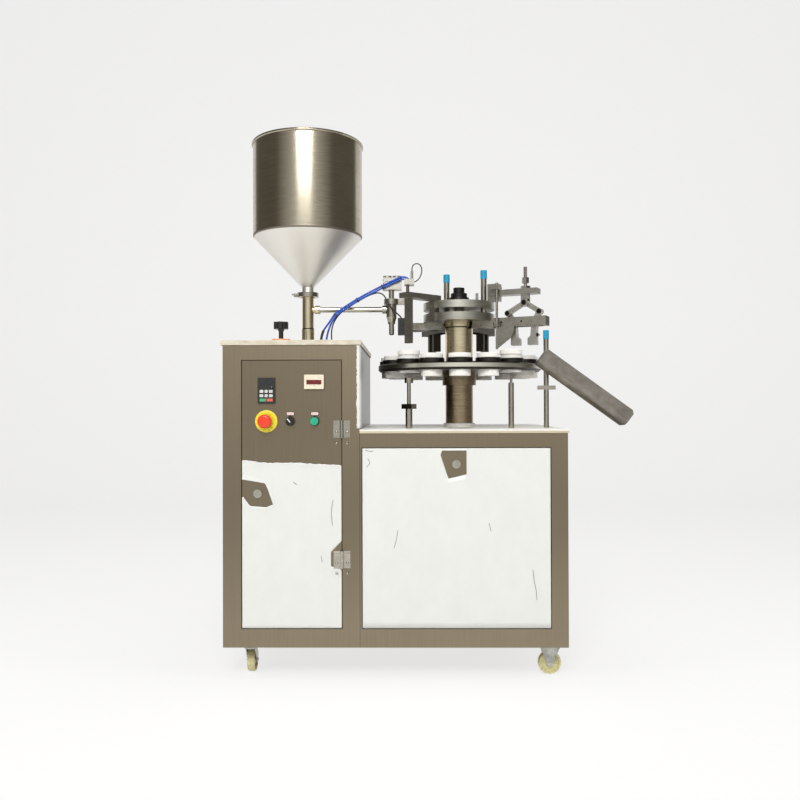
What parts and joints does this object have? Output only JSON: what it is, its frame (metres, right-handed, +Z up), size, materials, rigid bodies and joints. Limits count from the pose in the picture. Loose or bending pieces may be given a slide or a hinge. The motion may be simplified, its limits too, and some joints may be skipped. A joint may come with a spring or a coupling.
{
  "type": "tube filling machine",
  "caption": "Semi-automatic rotary tube filling machine on casters, with hopper, dosing head, indexing cup turntable, toggle crimping tongs and discharge chute.",
  "frame": {"origin": "on the floor, in the middle of the outer box seen from above", "axes": "+X to the right towards the chute, +Y to the rear, +Z up"},
  "size_m": [1.3646, 0.768, 1.846],
  "materials": {
    "stainless_sheet": "brushed",
    "white_film": "satin",
    "turned_steel": "turned",
    "tool_steel": "machined",
    "polished_steel": "polished",
    "blue_cap": "gloss",
    "black_plastic": "matte",
    "grey_paint": "matte",
    "salmon_plastic": "matte",
    "zinc_steel": "zinc plated",
    "blue_hose": "gloss",
    "red_plastic": "gloss",
    "green_plastic": "gloss",
    "cream_tyre": "satin",
    "white_plastic": "satin"
  },
  "bodies": {
    "machine": {"cabinet_shell": "stainless_sheet", "rear_panels": "stainless_sheet", "front_panel": "white_film", "top_cover": "white_film", "table_top": "white_film", "frame_hinge_leaves": "turned_steel", "column": "tool_steel", "tool_plate": "tool_steel", "tool_arms": "tool_steel", "guide_rods": "turned_steel", "rod_caps": "blue_cap", "fill_bracket": "tool_steel", "filling_head": "turned_steel", "fill_cylinder": "turned_steel", "tube_sensor": "black_plastic", "product_pipe": "polished_steel", "product_tee": "polished_steel", "hopper_clamp": "polished_steel", "hopper": "polished_steel", "lift_sleeves": "turned_steel", "chute_post": "turned_steel", "chute": "grey_paint", "knob_base": "salmon_plastic", "caster_mounts": "zinc_steel", "drive_motor": "grey_paint", "index_drive": "grey_paint", "dosing_cylinder": "turned_steel", "electrics_plate": "zinc_steel", "air_hose_left": "blue_hose", "air_hose_right": "blue_hose", "sensor_cable": "black_plastic"},
    "door_leaf": {"door": "stainless_sheet", "door_hinge_leaves": "turned_steel", "switch_bodies": "black_plastic", "panel_instruments": "black_plastic"},
    "estop_head": {"estop_button": "red_plastic"},
    "selector": {"selector_knob": "black_plastic"},
    "start": {"start_button": "green_plastic"},
    "door_lock": {"door_latch": "turned_steel"},
    "panel_lock": {"panel_latch": "turned_steel"},
    "dose_setting": {"dose_knob": "black_plastic"},
    "swivel_front": {"swivel_fork_front": "zinc_steel"},
    "swivel_rear": {"swivel_fork_rear": "zinc_steel"},
    "roll_front_left": {"wheel_front_left": "cream_tyre"},
    "roll_rear_left": {"wheel_rear_left": "cream_tyre"},
    "roll_front_right": {"wheel_front_right": "cream_tyre"},
    "roll_rear_right": {"wheel_rear_right": "cream_tyre"},
    "rotor": {"turntable": "tool_steel", "turntable_hub": "tool_steel", "tube_cups": "white_plastic"},
    "left_cup": {"cup_left": "white_plastic"},
    "right_cup": {"cup_right": "white_plastic"},
    "left_lifter": {"lift_rod_left": "turned_steel"},
    "right_lifter": {"lift_rod_right": "turned_steel"},
    "press_head": {"crosshead": "tool_steel", "press_arms": "tool_steel"},
    "inner_link": {"link_inner": "tool_steel"},
    "outer_link": {"link_outer": "tool_steel"},
    "inner_lever": {"lever_inner": "tool_steel"},
    "outer_lever": {"lever_outer": "tool_steel"}
  },
  "joints": [
    {"name": "door_swing", "type": "hinge", "parent": "machine", "child": "door_leaf", "pos_m": [-0.28784, -0.3444, 0.6], "axis": [0, 0, 1], "range_deg": [0, 110]},
    {"name": "estop_push", "type": "slide", "parent": "door_leaf", "child": "estop_head", "axis": [0, 1, 0], "range_m": [0, 0.005]},
    {"name": "selector_turn", "type": "hinge", "parent": "door_leaf", "child": "selector", "pos_m": [-0.45434, -0.338, 0.837], "axis": [0, -1, 0], "range_deg": [0, 80]},
    {"name": "start_push", "type": "slide", "parent": "door_leaf", "child": "start", "axis": [0, 1, 0], "range_m": [0, 0.003], "stiffness_N_per_m": 400},
    {"name": "door_latch_turn", "type": "hinge", "parent": "door_leaf", "child": "door_lock", "pos_m": [-0.56034, -0.338, 0.603], "axis": [0, -1, 0], "range_deg": [0, 90]},
    {"name": "panel_latch_turn", "type": "hinge", "parent": "machine", "child": "panel_lock", "pos_m": [0.08216, -0.338, 0.697], "axis": [0, -1, 0], "range_deg": [0, 90]},
    {"name": "dose_knob_turn", "type": "hinge", "parent": "machine", "child": "dose_setting", "pos_m": [-0.50834, -0.188, 1.15], "axis": [0, 0, 1], "continuous": true},
    {"name": "swivel_front_turn", "type": "hinge", "parent": "machine", "child": "swivel_front", "pos_m": [-0.59634, -0.268, 0.095], "axis": [0, 0, 1], "continuous": true},
    {"name": "wheel_front_left_roll", "type": "hinge", "parent": "swivel_front", "child": "roll_front_left", "pos_m": [-0.59634, -0.242, 0.0375], "axis": [1, 0, 0], "continuous": true},
    {"name": "wheel_front_right_roll", "type": "hinge", "parent": "machine", "child": "roll_front_right", "pos_m": [0.39166, -0.268, 0.0375], "axis": [0, 1, 0], "continuous": true},
    {"name": "swivel_rear_turn", "type": "hinge", "parent": "machine", "child": "swivel_rear", "pos_m": [-0.59634, 0.312, 0.095], "axis": [0, 0, 1], "continuous": true},
    {"name": "wheel_rear_left_roll", "type": "hinge", "parent": "swivel_rear", "child": "roll_rear_left", "pos_m": [-0.59634, 0.338, 0.0375], "axis": [1, 0, 0], "continuous": true},
    {"name": "wheel_rear_right_roll", "type": "hinge", "parent": "machine", "child": "roll_rear_right", "pos_m": [0.39166, 0.312, 0.0375], "axis": [0, 1, 0], "continuous": true},
    {"name": "turntable_turn", "type": "hinge", "parent": "machine", "child": "rotor", "pos_m": [0.11416, 0.002, 1.032], "axis": [0, 0, 1], "continuous": true},
    {"name": "left_cup_lift", "type": "slide", "parent": "rotor", "child": "left_cup", "axis": [0, 0, 1], "range_m": [-0.014, 0.011]},
    {"name": "right_cup_lift", "type": "slide", "parent": "rotor", "child": "right_cup", "axis": [0, 0, 1], "range_m": [-0.014, 0.011]},
    {"name": "left_lifter_rise", "type": "slide", "parent": "machine", "child": "left_lifter", "axis": [0, 0, 1], "range_m": [-0.02, 0.013]},
    {"name": "right_lifter_rise", "type": "slide", "parent": "machine", "child": "right_lifter", "axis": [0, 0, 1], "range_m": [-0.02, 0.013]},
    {"name": "press_stroke", "type": "slide", "parent": "machine", "child": "press_head", "axis": [0, 0, 1], "range_m": [-0.012, 0]},
    {"name": "inner_lever_swing", "type": "hinge", "parent": "machine", "child": "inner_lever", "pos_m": [0.30009, -0.08668, 1.18], "axis": [0.4305, 0.9026, 0], "range_deg": [-8.95, 0.5]},
    {"name": "inner_link_swing", "type": "hinge", "parent": "press_head", "child": "inner_link", "pos_m": [0.34161, -0.10649, 1.247], "axis": [0.4305, 0.9026, 0], "range_deg": [-0.5, 8.88]},
    {"name": "outer_lever_swing", "type": "hinge", "parent": "machine", "child": "outer_lever", "pos_m": [0.37591, -0.12285, 1.18], "axis": [0.4305, 0.9026, 0], "range_deg": [-0.5, 9.37]},
    {"name": "outer_link_swing", "type": "hinge", "parent": "press_head", "child": "outer_link", "pos_m": [0.34161, -0.10649, 1.247], "axis": [0.4305, 0.9026, 0], "range_deg": [-10.55, 0.5]}
  ],
  "couplings": [
    {"joint": "inner_lever_swing", "follows": "press_stroke", "rad_per_m": 12.29},
    {"joint": "inner_link_swing", "follows": "press_stroke", "rad_per_m": -12.19},
    {"joint": "outer_lever_swing", "follows": "press_stroke", "rad_per_m": -12.9},
    {"joint": "outer_link_swing", "follows": "press_stroke", "rad_per_m": 14.61}
  ]
}
